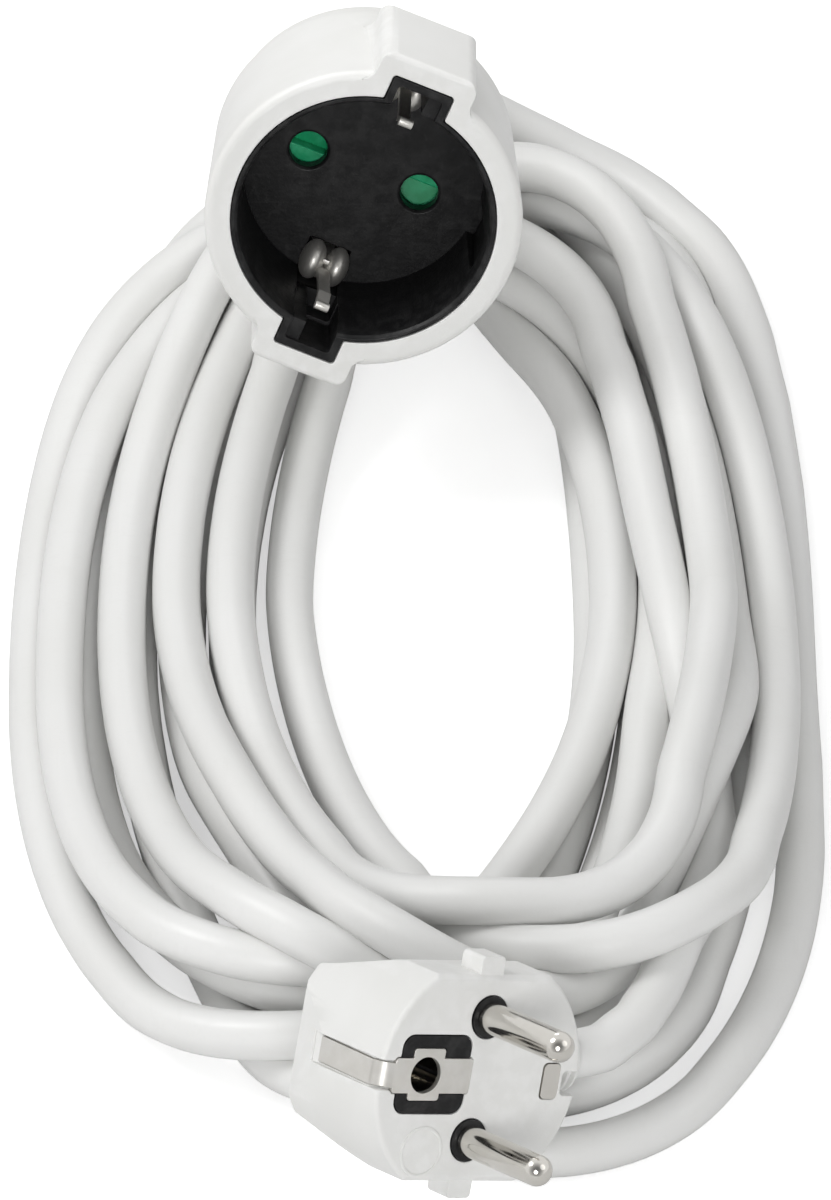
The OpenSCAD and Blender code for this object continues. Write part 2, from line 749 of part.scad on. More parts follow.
// Stations round the hank, from the right side past the far end:
// [inner x, inner y, outer x, outer y, height]
coil_stations = [
    [24, 5, 58.5, 5, 20], [23, 26, 57, 32, 20], [19, 44, 55, 60, 20],
    [14, 58, 52, 84, 20.5], [11, 65, 46, 99, 21.5],
    [9.5, 68, 35, 108, 23], [8, 69, 20, 113, 23.7], [6, 67, 2, 114, 23.6],
    [3, 63, -18, 110, 23.4], [-2, 57, -34, 99, 21],
    [-8, 49, -46, 80, 19.5], [-13, 37, -56, 52, 17.5],
    [-15, 20, -61.5, 22, 15], [-14, 2, -63, 0, 14.5],
    [-11, -15, -62, -24, 14.5], [-6, -32, -58, -50, 14],
    [-1, -45, -49, -74, 14], [3.5, -55, -36, -94, 14],
    [7, -61, -18, -108, 13.5], [9.5, -63, 3, -114, 13],
    [11.5, -60, 24, -114, 13], [14, -51, 43, -105, 13],
    [17, -40, 57, -86, 13.5], [20, -25, 63, -58, 14], [23, -10, 61, -24, 17]];

// A point that runs smoothly through the stations
function station(t) =
    let (n = len(coil_stations), i = floor(t), f = t - i,
         a = coil_stations[(i + n - 1) % n], b = coil_stations[i % n],
         c = coil_stations[(i + 1) % n], d = coil_stations[(i + 2) % n])
    0.5 * (2 * b + f * (c - a) + f * f * (2 * a - 5 * b + 4 * c - d)
        + f * f * f * (3 * b - a - 3 * c + d));

// Cross-section of the hank: flat foot, round shoulders, humped top
coil_section = [
    [0.04, 0], [0, 0.2], [0, 0.55], [0.07, 0.82], [0.22, 0.96], [0.5, 1],
    [0.78, 0.96], [0.93, 0.8], [1, 0.5], [1, 0.18], [0.96, 0]];

function coil_ring(t) =
    let (s = station(t))
    [for (p = coil_section) [s[0] + (s[2] - s[0]) * p.x,
                             s[1] + (s[3] - s[1]) * p.x, s[4] * p.y]];

// Closed skin over rings of equal length: a ring of rings, or a tube
// with an end cap at each end
module skin(rings, closed) {
    n = len(rings);
    m = len(rings[0]);
    last = closed ? n - 1 : n - 2;
    sides = [for (i = [0 : last], j = [0 : m - 1])
        let (k = (i + 1) % n, l = (j + 1) % m)
        each [[i * m + j, i * m + l, k * m + l],
              [i * m + j, k * m + l, k * m + j]]];
    caps = closed ? [] : [
        [for (j = [m - 1 : -1 : 0]) j],
        [for (j = [0 : m - 1]) (n - 1) * m + j]];
    polyhedron([for (r = rings) each r], concat(sides, caps),
               convexity = 8);
}

module cord_coil() {
    steps = 2 * len(coil_stations);
    color(white) in_row()
        skin([for (i = [0 : steps - 1]) coil_ring(i / 2)], true);
}

// Where the coupler's lead runs, from the end of the tail over the far
// end of the hank, down to the floor and back along its right side
socket_lead = [
    [-8.15, 100.77, 36.07], [-8.1, 107, 34], [-7, 113.3, 30],
    [-3.6, 118.6, 24.4], [2, 121.9, 18], [9, 123.2, 12.2],
    [17, 122.2, 7.8], [25, 119, 5.4], [32.2, 113, 4.3], [38, 105.5, 4],
    [42.6, 97, 4], [46, 88, 4]];

// Where the plug's lead runs, from the strain relief up the right side
plug_lead = [
    [21.98, -108.93, 20.39], [28, -104.8, 18.2], [33.2, -98.2, 17.3],
    [37, -90, 17.1], [39.8, -81, 17.2], [42.2, -71, 17.4],
    [44.2, -60, 17.8], [45.4, -48, 18.2], [45.2, -36, 18.4],
    [44, -25, 17.8], [42.5, -14, 16]];

function unit(v) = v / norm(v);

function tangent(p, i) =
    unit(p[min(i + 1, len(p) - 1)] - p[max(i - 1, 0)]);

// Ring of points round point i of a path, level across the path
function tube_ring(p, i, r, sides, t) =
    let (u = unit(cross(t, [0, 0, 1])), v = cross(u, t))
    [for (j = [0 : sides - 1]) let (a = 360 * j / sides)
        p[i] + r * (cos(a) * u + sin(a) * v)];

module lead(path, first) {
    color(white) in_row() skin([for (i = [0 : len(path) - 1])
        tube_ring(path, i, cord_d / 2, 10,
                  i == 0 ? first : tangent(path, i))], false);
}

// Directions in which the two ends leave the strain reliefs
socket_exit = [0, 0.951, -0.309];
plug_exit = [0.781, 0.447, -0.436];

module lead_to_socket() { lead(socket_lead, socket_exit); }
module lead_to_plug() { lead(plug_lead, plug_exit); }

// ---------------------------------------------------------------- output

socket_housing();
socket_insert();
contact_carrier();
shutter();
shutter_spring();
contact_live();
contact_neutral();
earth_bow();
socket_core_brown();
socket_core_blue();
socket_core_earth();
plug_body();
plug_insert();
pin_live();
pin_neutral();
earth_clip();
earth_spring();
earth_sleeve();
plug_core_brown();
plug_core_blue();
plug_core_earth();
cord_coil();
lead_to_socket();
lead_to_plug();
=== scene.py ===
# %% [markdown]
# # A coiled extension cord
# A white mains cord lies in a hank on a pale floor. On one end is a
# moulded coupler with a black insert, on the other an angled plug with
# round pins. The rigid solids come from the CAD frame. This lesson adds
# the cord's turns, finer casings, small hardware and the finishes.
#
# First the frame is loaded. The finished model must fill the same box.
# Blender works in metres here, and MM turns millimetres into them.

# %% Load the frame
import json
import math

import bmesh
import bpy
import numpy as np
from mathutils import Matrix, Vector
from mathutils.bvhtree import BVHTree


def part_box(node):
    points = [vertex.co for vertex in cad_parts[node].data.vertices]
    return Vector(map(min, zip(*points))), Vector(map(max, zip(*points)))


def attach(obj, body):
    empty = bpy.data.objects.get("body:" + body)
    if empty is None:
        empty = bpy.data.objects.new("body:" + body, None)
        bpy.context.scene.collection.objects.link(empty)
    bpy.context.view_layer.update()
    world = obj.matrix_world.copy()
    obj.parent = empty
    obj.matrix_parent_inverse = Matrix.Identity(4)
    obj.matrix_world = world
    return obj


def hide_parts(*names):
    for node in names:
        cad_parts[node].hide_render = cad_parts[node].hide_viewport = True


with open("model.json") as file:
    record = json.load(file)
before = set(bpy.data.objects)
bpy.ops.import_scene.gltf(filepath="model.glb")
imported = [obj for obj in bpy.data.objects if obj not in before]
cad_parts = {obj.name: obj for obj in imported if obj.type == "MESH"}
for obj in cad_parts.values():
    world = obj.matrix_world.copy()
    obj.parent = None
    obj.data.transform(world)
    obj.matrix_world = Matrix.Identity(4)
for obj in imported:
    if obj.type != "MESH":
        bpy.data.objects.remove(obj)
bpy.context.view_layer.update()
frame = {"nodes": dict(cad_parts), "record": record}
MM = 0.001

# %% [markdown]
# The part is seen from well above and a long way back, so parallel runs
# of cord stay parallel. A long lens at 2.4 metres does that. The
# picture is taller than wide, so the sensor's 36 mm lie along its
# height, and the lens follows from the height that must fill it.

# %% Camera
CAM_AT = Vector((0, 11.6, 15)) * MM
CAM_DISTANCE = 2.4
CAM_RISE = math.radians(42)
SEEN_HEIGHT = 0.1875

cam_data = bpy.data.cameras.new("camera")
cam_data.lens = cam_data.sensor_width * CAM_DISTANCE / SEEN_HEIGHT
camera = bpy.data.objects.new("camera", cam_data)
back = Vector((0, -math.cos(CAM_RISE), math.sin(CAM_RISE)))
camera.location = CAM_AT + CAM_DISTANCE * back
camera.rotation_euler = (math.pi / 2 - CAM_RISE, 0, 0)
bpy.context.scene.collection.objects.link(camera)
bpy.context.scene.camera = camera
print("lens", round(cam_data.lens, 1), "mm")

# %% [markdown]
# The cord is a round one, with three cores in a sheath 7.6 mm across. It
# leaves the coupler's tail, drops behind it to the floor, makes ten
# turns, and climbs to the plug's strain relief. The two leads keep the
# routes that the CAD solids have. All routes are in millimetres, from a
# point 11.6 mm behind the frame's own, so they are shifted once, when
# the cord becomes an object.

# %% Cord: measures and leads
CORD_D = 7.6
CORD_R = CORD_D / 2
SHIFT = np.array([0, 11.6, 0])
LEAD_TO_SOCKET = np.array([
    [-8.15, 100.77, 36.07], [-8.1, 107, 34], [-7, 113.3, 30],
    [-3.6, 118.6, 24.4], [2, 121.9, 18], [9, 123.2, 12.2],
    [17, 122.2, 7.8], [25, 119, 5.4], [32.2, 113, 4.3], [38, 105.5, 4],
    [42.6, 97, 4], [46, 88, 4]])
LEAD_TO_PLUG = np.array([
    [21.98, -108.93, 20.39], [28, -104.8, 18.2], [33.2, -98.2, 17.3],
    [37, -90, 17.1], [39.8, -81, 17.2], [42.2, -71, 17.4],
    [44.2, -60, 17.8], [45.4, -48, 18.2], [45.2, -36, 18.4],
    [44, -25, 17.8], [42.5, -14, 16]])
print("cord", CORD_D, "mm, leads of", len(LEAD_TO_SOCKET), "and",
      len(LEAD_TO_PLUG), "points")

# %% [markdown]
# A hank is wound by hand, turn after turn, and no two turns are the
# same. A spiral would look like a factory's coil. So each turn here has
# its own right, near, left and far extreme, and runs between them on
# quarter curves. The exponent of a quarter says how full it is: 2 is an
# ellipse, less is straighter, more is squarer.

# %% Cord: the turns
# right x, right y, near x, near y, left x, left y, far x, far y,
# then how full the four quarters are, in the order of travel
TURNS = [
    [58.8, -45, 20, -113, -30, 8, 20, 110, 2.0, 2.2, 1.9, 2.6],
    [51.2, -10, 16, -99, -36.5, 8, 8, 109, 2.2, 1.8, 2.0, 2.4],
    [43.5, 0, 6, -106, -43.6, 0, 2, 108, 2.1, 1.9, 2.1, 2.2],
    [36, 5, -8, -92, -51.5, -5, -6, 104, 1.85, 2.1, 2.2, 2.0],
    [30, 8, -14, -98, -59.2, -10, -10, 99, 1.75, 2.1, 2.2, 2.1],
    [33, 5, -12, -88, -55.4, -8, -9, 93, 1.8, 2.2, 2.2, 2.1],
    [39.8, 0, 0, -91, -46, 0, 2, 100, 2.0, 2.1, 2.1, 2.3],
    [47.3, -5, 12, -97, -37.4, 5, 8, 96, 2.2, 1.7, 2.0, 2.4],
    [54.6, -15, 24, -93, -20, 14, 9, 100, 2.3, 1.6, 1.9, 2.2],
    [43.5, 0, 13, -87, -29.5, 8, 1, 91, 2.4, 1.75, 2.0, 2.3]]
FIRST_RUN = [[49.6, 75], [52.2, 58], [54, 38], [55.4, 15], [57, -8],
             [58.3, -27]]
LAST_RUN = [[18, 83], [26, 69], [31, 53], [34.5, 36], [37.2, 18], [40, 1]]
POINTS_PER_QUARTER = 24


def quarter(start, end, along_x, fullness):
    """Points of a quarter curve that leaves start along x or along y."""
    t = np.linspace(0, math.pi / 2, POINTS_PER_QUARTER, endpoint=False)
    fall, rise = np.cos(t) ** (2 / fullness), np.sin(t) ** (2 / fullness)
    (x0, y0), (x1, y1) = start, end
    if along_x:
        return np.column_stack([x0 + (x1 - x0) * rise, y1 + (y0 - y1) * fall])
    return np.column_stack([x1 + (x0 - x1) * fall, y0 + (y1 - y0) * rise])


def plan_of_turns():
    """The whole coil seen from above, from the first run to the last."""
    plan = [np.array(FIRST_RUN)]
    for k, turn in enumerate(TURNS):
        right, near, left, far = (tuple(turn[i:i + 2]) for i in (0, 2, 4, 6))
        plan.append(quarter(right, near, False, turn[8]))
        plan.append(quarter(near, left, True, turn[9]))
        plan.append(quarter(left, far, False, turn[10]))
        if k + 1 < len(TURNS):
            next_right = tuple(TURNS[k + 1][0:2])
            plan.append(quarter(far, next_right, True, turn[11]))
    plan.append(np.array([list(far)] + LAST_RUN))
    return np.concatenate(plan)


coil_plan = plan_of_turns()
print("turns:", len(TURNS), "points in the plan:", len(coil_plan))

# %% [markdown]
# The plan is then given heights and let down onto the floor. Cloth and
# rope tools could do this, but a few rules on a row of points are
# quicker, and give the same result each time. The turns start one above
# the other, in the order in which they were wound, and sink. Four rules
# act on the points: runs push each other apart, bends stay wide, the
# coupler and the plug keep the cord out, and the floor carries it.
#
# The helpers come first: even spacing, a plain average, and a search for
# points that lie near each other but not next to each other.

# %% Cord: helpers for the settling
STEP = 4.0
SAME_RUN = 9


def resample(points, step):
    """Points at an even spacing along a path."""
    run = np.r_[0, np.cumsum(np.linalg.norm(np.diff(points, axis=0), axis=1))]
    at = np.linspace(0, run[-1], int(round(run[-1] / step)) + 1)
    return np.column_stack([np.interp(at, run, c) for c in points.T])


def smooth(values, passes):
    """Runs a 1-2-1 average over the inner values."""
    values = values.copy()
    for _ in range(passes):
        values[1:-1] = 0.5 * values[1:-1] + 0.25 * (values[:-2] + values[2:])
    return values


def close_pairs(points, reach):
    """Pairs of points that lie near each other on different runs."""
    gap = np.linalg.norm(points[:, None] - points[None], axis=2)
    order = np.arange(len(points))
    apart = order[None] - order[:, None] > SAME_RUN
    return np.where((gap < reach) & apart)


# %% [markdown]
# A sheathed mains cord doesn't fold. Three cores and thick PVC make it
# open every tight bend by itself. In a bend of radius R, the middle of a
# chord that is 2 s long stands s * s / 2 R off that chord. Where it
# stands off further, the middle is moved in and the ends are moved out,
# and this is done over short and long chords in turn.

# %% Cord: how stiff it is
TIGHTEST = 31.0
TINY = 1e-9


def limit_bends(points, hold, reach):
    """Opens every bend that is tighter than the cord allows."""
    most = (reach * STEP) ** 2 / (2 * TIGHTEST)
    before, here, after = (points[:-2 * reach], points[reach:-reach],
                           points[2 * reach:])
    bow = here - (before + after) / 2
    size = np.linalg.norm(bow, axis=1) + TINY
    over = np.maximum(size - most, 0)
    step = bow * (over / size)[:, None]
    move, count = np.zeros_like(points), np.ones(len(points)) * TINY
    for start, share in ((0, 0.25), (reach, -0.5), (2 * reach, 0.25)):
        stop = start + len(step)
        move[start:stop] += step * share
        count[start:stop] += over > 0
    points += move / np.sqrt(np.maximum(count, 1))[:, None] * hold[:, None]


# %% [markdown]
# Two runs can't be closer than a diameter. Where one lies on the other,
# it is lifted. Where they lie side by side, they move apart sideways and
# only a little in height. A line from run to run that rises by more than
# STEEP of its length counts as one on the other. Points face each other
# only by chance, so each pair may slide along the run before it is
# measured. Where many pairs push one point, their sum is eased by a
# power of their number. Of two runs at the very same height, the one
# that was wound later goes up.

# %% Cord: how two runs push apart
STEEP = 0.62
SLIDE = 0.7
LIFT_BESIDE = 0.25
CROWDING = 0.7
TIE = 1e-6


def push_apart(points, first, second, hold, share):
    """Moves points that are closer than a diameter away from each other."""
    along = np.gradient(points, axis=0)
    along /= np.linalg.norm(along, axis=1)[:, None]
    gap = points[second] - points[first]
    slide = np.clip((gap * along[first]).sum(1), -SLIDE * STEP, SLIDE * STEP)
    gap = gap - along[first] * slide[:, None]
    size = np.linalg.norm(gap, axis=1) + TINY
    near = size < CORD_D
    first, second, gap, size = first[near], second[near], gap[near], size[near]
    level = np.linalg.norm(gap[:, :2], axis=1) + TINY
    height = gap[:, 2]
    stacked = np.abs(height) / size > STEEP
    push = np.zeros_like(gap)
    lift = np.sqrt(np.maximum(CORD_D ** 2 - level ** 2, 0)) - np.abs(height)
    part = np.sqrt(np.maximum(CORD_D ** 2 - height ** 2, 0)) - level
    push[:, 2] = (np.sign(height + TIE)
                  * np.where(stacked, lift, LIFT_BESIDE * part))
    push[:, :2] = np.where(stacked, 0, part / level)[:, None] * gap[:, :2]
    both = hold[first] + hold[second] + TINY
    move, count = np.zeros_like(points), np.zeros(len(points))
    np.add.at(move, first, -push * (hold[first] / both)[:, None])
    np.add.at(move, second, push * (hold[second] / both)[:, None])
    np.add.at(count, first, 1)
    np.add.at(count, second, 1)
    points += (move / np.maximum(count, 1)[:, None] ** CROWDING
               * share * hold[:, None])
    return float((CORD_D - size).max()) if len(size) else 0.0


# %% [markdown]
# The coupler and the plug lie on the hank, so the cord has to stay
# outside them. Their CAD meshes are searched for the nearest face, and
# a point that is closer than the cord's radius is moved off it, half of
# the way each time, so that it doesn't jump.

# %% Cord: keep clear of the two casings
CASINGS = ("socket_housing", "plug_body")
EACH_TIME = 0.5


def tree_of(name):
    """A search tree over a CAD mesh, in millimetres of the coil's frame."""
    mesh = frame["nodes"][name].data
    corners = [Vector(v.co) / MM - Vector(SHIFT) for v in mesh.vertices]
    faces = [tuple(p.vertices) for p in mesh.polygons]
    return BVHTree.FromPolygons(corners, faces)


casings = [(tree_of(name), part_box(name)) for name in CASINGS]


def keep_off_casings(points, hold):
    """Pushes the cord down and away from the coupler and the plug."""
    for tree, (low, high) in casings:
        low = np.array(low) / MM - SHIFT - CORD_D
        high = np.array(high) / MM - SHIFT + CORD_D
        inside = ((points > low) & (points < high)).all(1) & (hold > 0)
        for i in np.where(inside)[0]:
            spot, normal, _, distance = tree.find_nearest(Vector(points[i]))
            away = Vector(points[i]) - spot
            outside = away.dot(normal) > 0
            if outside and distance < CORD_R:
                step = away.normalized() * (CORD_R - distance)
            elif not outside:
                step = normal * (CORD_R + distance)
            else:
                continue
            points[i] += np.array(step) * hold[i] * EACH_TIME


print("the cord keeps clear of", CASINGS)

# %% [markdown]
# Now the rules are put to work. The ends are held where the two leads
# have to be, and the cord becomes free over the next few points. In each
# round the free points sink a little and are drawn back to the plan, so
# that the hank keeps its outline. In the last rounds both fade, and only
# the contact and the stiffness still act.

# %% Cord: heights to start from, and how free each point is
HELD_AT_SOCKET, HELD_AT_PLUG, EASING = 16, 10, 16
LEVEL_RUN = 60
LOWEST, RISE_PER_TURN = 4, 2


def start_heights(path, first, last):
    """Fills in the heights of the turns, rising a little turn by turn."""
    run = np.r_[0, np.cumsum(np.linalg.norm(np.diff(path[:, :2], axis=0),
                                            axis=1))]
    share = (run - run[first] - LEVEL_RUN) / (run[last] - run[first]
                                              - LEVEL_RUN)
    empty = np.isnan(path[:, 2])
    path[empty, 2] = LOWEST + (np.clip(share[empty], 0, 1) * RISE_PER_TURN
                               * len(TURNS))
    return path


def freedom(count):
    """0 where the cord is held, 1 where it is free, and a ramp between."""
    hold = np.ones(count)
    ramp = np.arange(1, EASING + 1) / (EASING + 1)
    hold[:HELD_AT_SOCKET] = 0
    hold[HELD_AT_SOCKET:HELD_AT_SOCKET + EASING] = ramp
    hold[-HELD_AT_PLUG:] = 0
    hold[-HELD_AT_PLUG - EASING:-HELD_AT_PLUG] = ramp[::-1]
    return hold


# %% [markdown]
# Every number that rules the settling has a name. The search for close
# pairs is slow, so it is run only now and then, with a reach that allows
# for what moves in between. The closing rounds are contact alone, with
# small steps, so that little overlap is left.

# %% Cord: let the coil down
SINK, SINK_AT_LAST = 0.35, 0.06
PULL, PULL_AT_LAST = 0.03, 0.004
LAST_ROUNDS, CLOSING_ROUNDS = 80, 60
CHORDS = (6, 4, 2, 1)
SEARCH_EVERY, CASINGS_EVERY = 6, 4
REACH, REACH_AT_LAST = 5, 2
STEPS_PER_ROUND = 3
PUSH, PUSH_AT_LAST = 0.6, 0.3
PASSES, PASSES_AT_LAST = 3, 5


def push_and_open(path, pairs, hold, share):
    """One step of contact, stiffness and floor."""
    over = push_apart(path, *pairs, hold, share)
    for reach in CHORDS:
        limit_bends(path, hold, reach)
    path[:, 2] = np.maximum(path[:, 2], CORD_R)
    return over


def soften(path, plan, hold, passes):
    """Smooths the heights and how far the points have left the plan."""
    moved = path - plan
    moved[:, 2] = path[:, 2]
    soft = smooth(moved, passes)
    soft[:, :2] += plan[:, :2]
    path += (soft - path) * hold[:, None]


def settle(path, rounds):
    """Lets the turns sink onto the floor and onto each other."""
    hold = freedom(len(path))
    plan = path.copy()
    for k in range(rounds):
        last = k > rounds - LAST_ROUNDS
        if k % SEARCH_EVERY == 0:
            pairs = close_pairs(path, CORD_D + REACH)
        path[:, 2] -= (SINK_AT_LAST if last else SINK) * hold
        path[:, :2] += ((plan - path)[:, :2] * (PULL_AT_LAST if last else PULL)
                        * hold[:, None])
        for _ in range(STEPS_PER_ROUND):
            push_and_open(path, pairs, hold, PUSH)
        if k % CASINGS_EVERY == 0:
            keep_off_casings(path, hold)
        soften(path, plan, hold, PASSES)
    pairs = close_pairs(path, CORD_D + REACH_AT_LAST)
    for _ in range(CLOSING_ROUNDS):
        over = push_and_open(path, pairs, hold, PUSH_AT_LAST)
    soften(path, plan, hold, PASSES_AT_LAST)
    path[:, 2] = np.maximum(path[:, 2], CORD_R)
    print("left over between runs:", round(over, 2), "mm")
    return path


# %% [markdown]
# The drawn turns have folds that are tighter than a cord can make. So
# the route is first opened by its stiffness alone, over many cheap
# rounds, and only then let down.

# %% Cord: from the plan to the settled route
OPENING_ROUNDS, OPENING_CHORDS = 3000, (2, 4, 7)
OPENING_HELD_AT_PLUG = HELD_AT_PLUG + 2
ROUNDS, QUICK_ROUNDS = 340, 120
coil_3d = np.column_stack([coil_plan, np.full(len(coil_plan), np.nan)])
route = np.concatenate([LEAD_TO_SOCKET, coil_3d, LEAD_TO_PLUG[::-1]])
route = start_heights(route, len(LEAD_TO_SOCKET) - 1,
                      len(route) - len(LEAD_TO_PLUG))
route = resample(route, STEP)
stiff = np.ones(len(route))
stiff[:HELD_AT_SOCKET], stiff[-OPENING_HELD_AT_PLUG:] = 0, 0
for _ in range(OPENING_ROUNDS):
    for reach in OPENING_CHORDS:
        limit_bends(route, stiff, reach)
route = settle(route, ROUNDS)
cord_length = np.linalg.norm(np.diff(route, axis=0), axis=1).sum() * MM
print("cord:", round(cord_length, 2), "m, highest at",
      round(route[:, 2].max() + CORD_R, 1), "mm")

# %% [markdown]
# A curve with a round bevel is the plain way to a cord: it follows any
# path, never twists into a ribbon, and closes its ends with caps. The
# route is made finer first, on smooth curves through its points. The
# curve is turned into a mesh at once, because a mesh has a true box and
# keeps the map that runs along the sheath.

# %% Cord: the object
FINE_STEP = 2.0


def round_path(points, step):
    """A finer path through the points, on smooth curves between them."""
    a, b, c, d = points[:-3], points[1:-2], points[2:-1], points[3:]
    parts = []
    for f in np.arange(0, 1, step / STEP):
        parts.append(0.5 * (2 * b + f * (c - a)
                            + f * f * (2 * a - 5 * b + 4 * c - d)
                            + f ** 3 * (3 * b - a - 3 * c + d)))
    fine = np.stack(parts, 1).reshape(-1, 3)
    return np.concatenate([points[:1], fine, points[-2:]])


fine_route = (round_path(route, FINE_STEP) + SHIFT) * MM
cord_curve = bpy.data.curves.new("cord_line", "CURVE")
cord_curve.dimensions = "3D"
cord_curve.bevel_depth = CORD_R * MM
cord_curve.bevel_resolution = 5
cord_curve.use_fill_caps = True
spline = cord_curve.splines.new("POLY")
spline.points.add(len(fine_route) - 1)
for point, place in zip(spline.points, fine_route):
    point.co = (*place, 1)
line = bpy.data.objects.new("cord_line", cord_curve)
bpy.context.scene.collection.objects.link(line)
bpy.context.view_layer.update()
cord_mesh = bpy.data.meshes.new_from_object(
    line.evaluated_get(bpy.context.evaluated_depsgraph_get()))
bpy.data.objects.remove(line)
cord_mesh.shade_smooth()
cord = bpy.data.objects.new("cord", cord_mesh)
bpy.context.scene.collection.objects.link(cord)
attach(cord, "cord_set")
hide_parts("cord_coil", "lead_to_socket", "lead_to_plug")
print("points on the cord:", len(fine_route), "faces:",
      len(cord_mesh.polygons))

# %% [markdown]
# A moulded edge is never quite sharp: steel is cut with a small radius and
# plastic shrinks a little. The CAD solids have sharp edges, and a bevel of
# a few tenths of a millimetre catches the light along them. Each solid
# that shows is copied, its loose triangles are merged, flat ones are
# dissolved, and the outer edges are bevelled. The new corners are marked
# in an attribute, so that a finish can be rubbed there.
#
# A bevel can throw a corner far out where three edges meet at a shallow
# angle. Such a corner is brought back to the nearest spot of the solid.
#
# Shading follows the same idea. Outer edges up to 38 degrees are shaded
# round. In a hollow, where one wall meets another, a smooth shade would
# run on as a dark streak, so there an edge is crisp from 16 degrees on.
# Weighted normals keep the large faces flat.

# %% Rounded copies: from a bmesh to an object
OUTER_CORNER, INNER_CORNER = 38, 16


def finish_mesh(bm, name, smooth_under=OUTER_CORNER):
    """Turns a bmesh into an object with even, smooth shading."""
    for face in bm.faces:
        face.smooth = True
    for edge in bm.edges:
        outer = len(edge.link_faces) == 2 and edge.is_convex
        limit = smooth_under if outer else INNER_CORNER
        edge.smooth = edge.calc_face_angle(0) < math.radians(limit)
    mesh = bpy.data.meshes.new(name)
    bm.to_mesh(mesh)
    bm.free()
    piece = bpy.data.objects.new(name, mesh)
    bpy.context.scene.collection.objects.link(piece)
    even = piece.modifiers.new("even_shading", "WEIGHTED_NORMAL")
    even.keep_sharp = True
    return piece


# %% Rounded copies: the helper
MERGE = 0.03
FLAT, SHARP = 1.2, 32
STRAY = 0.45


def rounded_copy(node, width, sharp=SHARP, smooth_under=OUTER_CORNER):
    """A copy of a CAD solid with its sharp edges rounded."""
    bm = bmesh.new()
    bm.from_mesh(frame["nodes"][node].data)
    bmesh.ops.remove_doubles(bm, verts=bm.verts, dist=MERGE * MM)
    bmesh.ops.dissolve_limit(bm, angle_limit=math.radians(FLAT),
                             verts=bm.verts, edges=bm.edges)
    crisp = [e for e in bm.edges if len(e.link_faces) == 2 and e.is_convex
             and e.calc_face_angle(0) > math.radians(sharp)]
    surface = BVHTree.FromBMesh(bm)
    rubbed = bm.verts.layers.float.new("rubbed")
    made = bmesh.ops.bevel(bm, geom=crisp, offset=width * MM,
                           offset_type="OFFSET", segments=2,
                           profile=0.5, affect="EDGES",
                           clamp_overlap=False, material=-1)
    for corner in made["verts"]:
        corner[rubbed] = 1.0
        spot, _, _, distance = surface.find_nearest(corner.co)
        if distance > STRAY * width * MM:
            corner.co = spot
    return finish_mesh(bm, node + "_moulded", smooth_under)


# %% [markdown]
# How round an edge is depends on how the piece is made. The big shell has
# the widest radius, thin inserts have less, and pressed metal hardly any.
# The near earth clip is one strip, bent round the plug's edge. Its bend
# is smooth, so only edges sharper than the bend are bevelled.

# %% Rounded copies: which solids, and how round
EDGE_WIDTH = {
    "socket_housing": 0.35, "socket_insert": 0.14, "shutter": 0.22,
    "contact_live": 0.1, "contact_neutral": 0.1, "contact_carrier": 0.15,
    "earth_bow": 0.12, "plug_body": 0.25, "plug_insert": 0.12,
    "pin_live": 0.1, "pin_neutral": 0.1, "earth_clip": 0.07,
    "earth_sleeve": 0.06}
BENT_STRIP = {"earth_clip": {"sharp": 52, "smooth_under": 52}}
slots = {part["node"]: part["material_slot"]
         for part in frame["record"]["subparts"]}
dressed = {}
for node, width in EDGE_WIDTH.items():
    piece = rounded_copy(node, width, **BENT_STRIP.get(node, {}))
    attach(piece, "shutter" if node == "shutter" else "cord_set")
    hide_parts(node)
    dressed[node] = piece
    print(piece.name, len(piece.data.polygons), "faces")

# %% [markdown]
# Two details are finer than the solids. The plug's face carries a plain
# raised ring, as a moulder leaves round a cavity mark. The bow's
# two pressed lobes are domed, so that a round plug slides over them. Both
# are built flat at the origin, in millimetres, and then moved by the
# same turns that place the plug and the coupler.

# %% Small forms: where the coupler and the plug stand
def turned(x, y, z):
    """A rotation by angles in degrees about X, then Y, then Z."""
    return (Matrix.Rotation(math.radians(z), 4, "Z")
            @ Matrix.Rotation(math.radians(y), 4, "Y")
            @ Matrix.Rotation(math.radians(x), 4, "X"))


AT_SOCKET = (Matrix.Translation((-8.15, 57.2, 54)) @ turned(72, 0, 0)
             @ turned(0, 0, -23))
AT_PLUG = Matrix.Translation((9.5, -118.4, 36)) @ turned(68.5, 26, 30)


def put_in_place(bm, place, name, slot_name):
    """Moves a shape drawn in millimetres to its place, as an object."""
    bmesh.ops.transform(bm, matrix=Matrix.Scale(MM, 4) @ place,
                        verts=bm.verts)
    bmesh.ops.recalc_face_normals(bm, faces=bm.faces)
    piece = finish_mesh(bm, name)
    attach(piece, "cord_set")
    dressed[name] = piece
    slots[name] = slot_name
    print(name, len(piece.data.polygons), "faces")
    return piece


# %% [markdown]
# The ring is a turned form, so its section is drawn once and spun right
# round. The section starts a little under the face, so that the ring
# grows out of it.

# %% Small forms: the ring on the plug's face
RING_AT, RING_R = (-8.7, -11.3), 3.7
RING_SECTION = ((0.3, -0.15), (0.26, 0.1), (0.12, 0.2), (-0.12, 0.2),
                (-0.26, 0.1), (-0.3, -0.15))
bm = bmesh.new()
profile = [bm.verts.new((RING_R + dx, 0, dz)) for dx, dz in RING_SECTION]
edges = [bm.edges.new(pair) for pair in zip(profile,
                                            profile[1:] + profile[:1])]
bmesh.ops.spin(bm, geom=profile + edges, cent=(0, 0, 0), axis=(0, 0, 1),
               angle=2 * math.pi, steps=72, use_merge=True)
bmesh.ops.translate(bm, verts=bm.verts, vec=(*RING_AT, 0))
face_ring = put_in_place(bm, AT_PLUG, "face_ring", "moulded_white")

